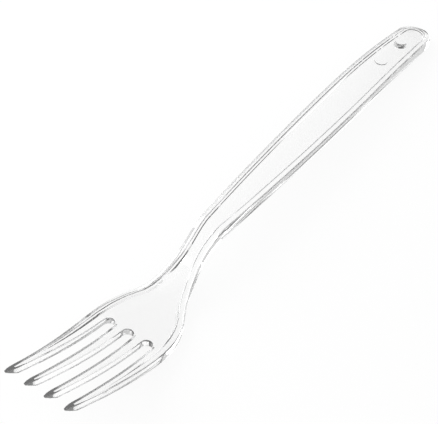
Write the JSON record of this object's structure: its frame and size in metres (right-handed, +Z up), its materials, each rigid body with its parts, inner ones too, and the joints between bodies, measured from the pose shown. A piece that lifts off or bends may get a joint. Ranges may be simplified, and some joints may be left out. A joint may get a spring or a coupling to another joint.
{
  "type": "plastic fork",
  "caption": "Clear moulded plastic table fork with swept-up pointed tines, a slim raised neck and a long handle, with a fine raised bead around its shallow recessed top, lying face up.",
  "frame": {"origin": "middle of the overall box at table level, with the fork lying face up as in the picture", "axes": "+X from the tines' tips towards the handle's end, +Y to the right of someone holding the handle, +Z up"},
  "size_m": [0.1784, 0.0232, 0.0189],
  "materials": {
    "clear_plastic": "clear, polished moulding"
  },
  "bodies": {
    "root": {"fork": "clear_plastic"}
  },
  "joints": []
}
